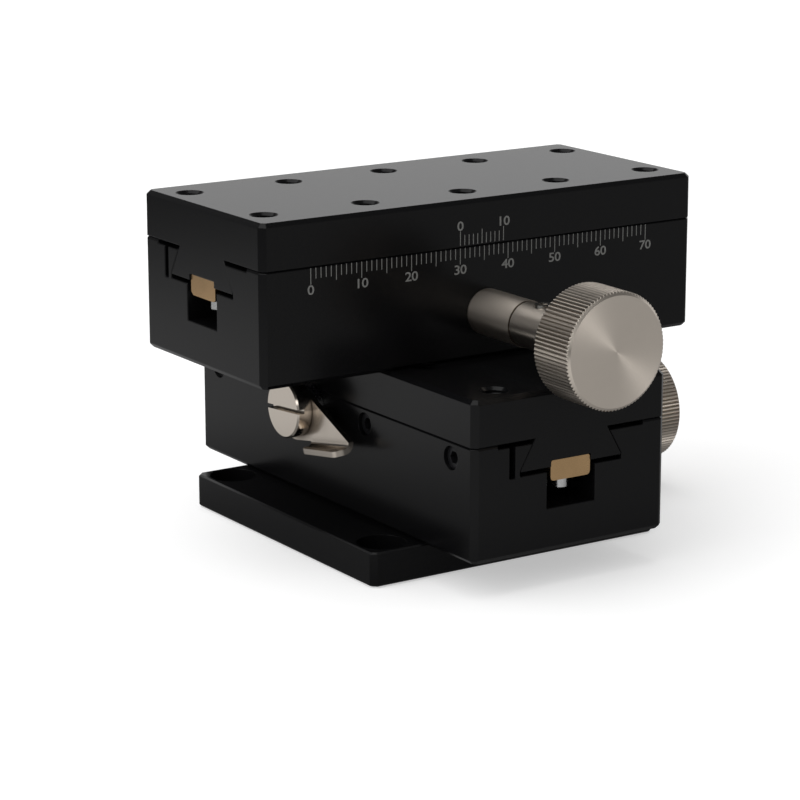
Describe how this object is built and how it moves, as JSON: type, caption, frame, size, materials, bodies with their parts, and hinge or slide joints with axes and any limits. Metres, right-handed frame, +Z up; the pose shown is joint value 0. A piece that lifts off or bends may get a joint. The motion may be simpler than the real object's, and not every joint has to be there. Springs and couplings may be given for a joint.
{
  "type": "xy translation stage",
  "caption": "Manual XY translation stage: stacked dovetail slides on a square base, each moved by a rack-and-pinion knob, with vernier scale and lever lock.",
  "frame": {"origin": "centre of the base plate's underside", "axes": "+X along the upper slide's travel, +Y along the lower slide's travel and away from the upper slide's knob, +Z up"},
  "size_m": [0.097, 0.1018, 0.062],
  "materials": {
    "anodised_black": "black anodised, satin",
    "nickel": "turned, nickel plated",
    "steel": "bright",
    "black_steel": "black oxide",
    "brass": "milled"
  },
  "bodies": {
    "base": {"base_plate": "anodised_black", "y_body": "anodised_black", "y_gib_screws": "black_steel", "y_bearing_sleeve": "nickel", "y_lock_pad": "brass"},
    "y_carriage": {"y_table": "anodised_black", "y_rack": "brass", "y_stop_screws": "steel", "x_body": "anodised_black", "x_gib_screws": "black_steel", "x_bearing_sleeve": "nickel", "x_lock_pad": "brass"},
    "x_carriage": {"x_table": "anodised_black", "x_rack": "brass", "x_stop_screws": "steel"},
    "y_drive": {"y_drive_shaft": "steel", "y_pinion": "steel", "y_knob": "nickel", "y_knob_grub_screw": "black_steel"},
    "x_drive": {"x_drive_shaft": "steel", "x_pinion": "steel", "x_knob": "nickel", "x_knob_grub_screw": "black_steel"},
    "y_lock": {"y_lock_screw": "nickel", "y_lock_lever": "nickel", "y_lock_collar": "steel"},
    "x_lock": {"x_lock_screw": "nickel", "x_lock_lever": "nickel", "x_lock_collar": "steel"}
  },
  "joints": [
    {"name": "y_slide", "type": "slide", "parent": "base", "child": "y_carriage", "axis": [0, 1, 0], "range_m": [-0.035, 0.035]},
    {"name": "x_slide", "type": "slide", "parent": "y_carriage", "child": "x_carriage", "axis": [1, 0, 0], "range_m": [-0.035, 0.035]},
    {"name": "y_knob_turn", "type": "hinge", "parent": "base", "child": "y_drive", "pos_m": [0, 0, 0.0141], "axis": [-1, 0, 0], "range_deg": [-450, 450]},
    {"name": "x_knob_turn", "type": "hinge", "parent": "y_carriage", "child": "x_drive", "pos_m": [0, 0, 0.0421], "axis": [0, 1, 0], "range_deg": [-450, 450]},
    {"name": "y_lock_turn", "type": "hinge", "parent": "base", "child": "y_lock", "pos_m": [-0.0225, 0.005, 0.0231], "axis": [-1, 0, 0], "range_deg": [-15, 45]},
    {"name": "x_lock_turn", "type": "hinge", "parent": "y_carriage", "child": "x_lock", "pos_m": [0.005, 0.0225, 0.0511], "axis": [0, 1, 0], "range_deg": [-15, 45]}
  ],
  "couplings": [
    {"joint": "y_knob_turn", "follows": "y_slide", "rad_per_m": 222.22},
    {"joint": "x_knob_turn", "follows": "x_slide", "rad_per_m": 222.22}
  ]
}
